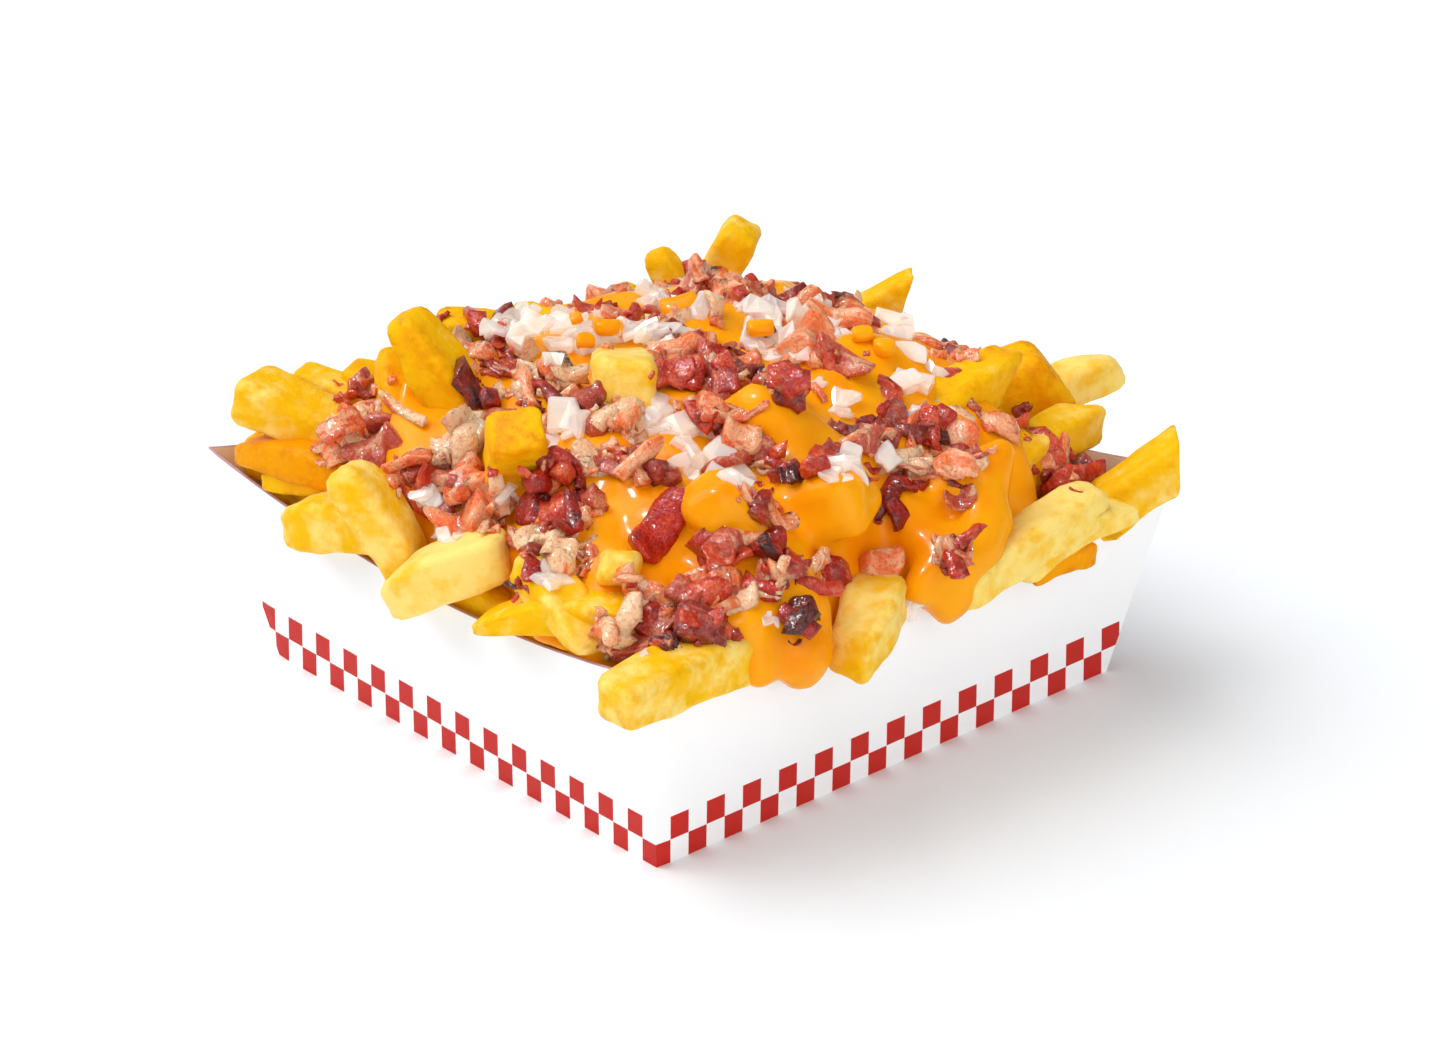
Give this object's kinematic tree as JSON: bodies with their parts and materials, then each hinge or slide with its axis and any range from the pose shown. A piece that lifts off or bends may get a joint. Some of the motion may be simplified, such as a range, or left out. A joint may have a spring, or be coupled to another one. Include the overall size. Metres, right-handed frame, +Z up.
{
  "type": "bacon fries",
  "caption": "Open square paperboard tray with flared walls, heaped with chunky fries under melted cheese sauce, bacon chips and diced onion.",
  "frame": {"origin": "middle of the tray's underside, on the table", "axes": "+Z up; +X along the tray's shorter side at the top, 152 mm; +Y along its longer side, 156 mm"},
  "size_m": [0.175, 0.1864, 0.0929],
  "materials": {
    "tray": "satin white board, bare, with a red and white check band along the foot",
    "fries": "fried potato under glossy cheese sauce",
    "bacon": "cured meat, lean red and pale fat, slightly greasy",
    "onion": "moist, slightly translucent white"
  },
  "bodies": {
    "root": {"tray": "tray", "fries_heap": "fries", "bacon_centreRed": "bacon", "bacon_centreSlab": "bacon", "bacon_cornerDark": "bacon", "bacon_cornerRag": "bacon", "bacon_cornerSlab": "bacon", "bacon_darkCurl": "bacon", "bacon_farDice": "bacon", "bacon_leftFold": "bacon", "bacon_leftLump": "bacon", "bacon_pinkPair": "bacon", "bacon_purpleCurl": "bacon", "bacon_purpleTop": "bacon", "bacon_redStrip": "bacon", "bacon_rightCluster": "bacon", "bacon_rightTop": "bacon", "bacon_sauceDice": "bacon", "bacon_sideChip": "bacon", "bacon_topStrip": "bacon", "onion_backFlake": "onion", "onion_centreFlake": "onion", "onion_leftFlake": "onion", "onion_lowerFlake": "onion", "onion_rightFlake": "onion", "onion_topChunk": "onion", "onion_upperFlake": "onion"}
  },
  "joints": []
}
